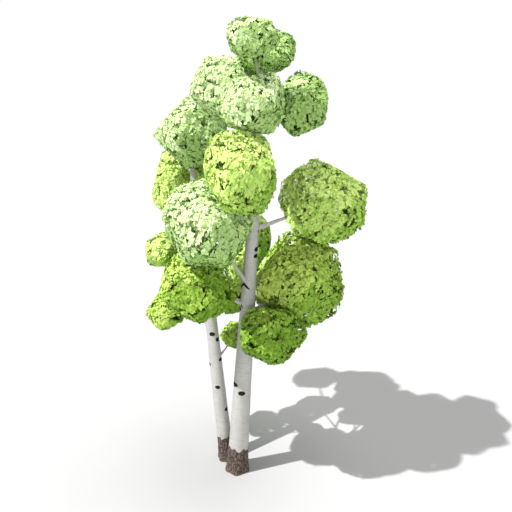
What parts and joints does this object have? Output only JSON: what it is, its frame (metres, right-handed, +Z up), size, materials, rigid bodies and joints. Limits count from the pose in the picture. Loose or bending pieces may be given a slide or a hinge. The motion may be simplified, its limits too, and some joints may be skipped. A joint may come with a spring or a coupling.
{
  "type": "birch tree",
  "caption": "Birch tree grown as a clump, with pale stems on dark rugged feet, rising boughs and separate rounded masses of light green leaves.",
  "frame": {"origin": "middle of the main stem's flat cut at ground level", "axes": "+Z up; the main stem leans toward +X, the second stem stands behind it toward -X and +Y and leans toward -X; -Y is the side seen in the reference view"},
  "size_m": [4.4111, 4.5687, 8.9631],
  "materials": {
    "bark": "papery white bark with dark scars and a rugged brown foot",
    "bough_bark": "smooth grey-white bark, browner toward the twigs",
    "leaves_pale": "pale green leaves",
    "leaves_lime": "lime green leaves",
    "leaves_deep": "deeper green leaves"
  },
  "bodies": {
    "root": {"stem_main": "bark", "stem_second": "bark", "bough_top_front": "bough_bark", "bough_upper_left": "bough_bark", "bough_upper_front": "bough_bark", "bough_upper_right": "bough_bark", "bough_middle_front": "bough_bark", "bough_left_front": "bough_bark", "bough_right": "bough_bark", "bough_right_low": "bough_bark", "bough_right_skirt": "bough_bark", "bough_left_low": "bough_bark", "bough_back_upper": "bough_bark", "bough_back_right_low": "bough_bark", "bough_back_middle": "bough_bark", "bough_back_low": "bough_bark", "bough_back_inner": "bough_bark", "bough_left_back": "bough_bark", "bough_back_left": "bough_bark", "bough_back_centre": "bough_bark", "bough_far_left": "bough_bark", "bough_far_left_low": "bough_bark", "bough_between_stems": "bough_bark", "foliage_top_back": "leaves_pale", "foliage_top_front": "leaves_pale", "foliage_upper_left": "leaves_pale", "foliage_upper_front": "leaves_pale", "foliage_upper_right": "leaves_pale", "foliage_middle_front": "leaves_lime", "foliage_left_front": "leaves_pale", "foliage_right": "leaves_lime", "foliage_right_low": "leaves_deep", "foliage_right_skirt": "leaves_deep", "foliage_left_low": "leaves_deep", "foliage_back_upper": "leaves_lime", "foliage_back_right_low": "leaves_deep", "foliage_back_middle": "leaves_lime", "foliage_back_low": "leaves_deep", "foliage_back_inner": "leaves_lime", "foliage_left_shoulder": "leaves_pale", "foliage_left_back": "leaves_lime", "foliage_back_left": "leaves_lime", "foliage_back_centre": "leaves_lime", "foliage_far_left": "leaves_lime", "foliage_far_left_low": "leaves_deep", "foliage_between_stems": "leaves_deep"}
  },
  "joints": []
}
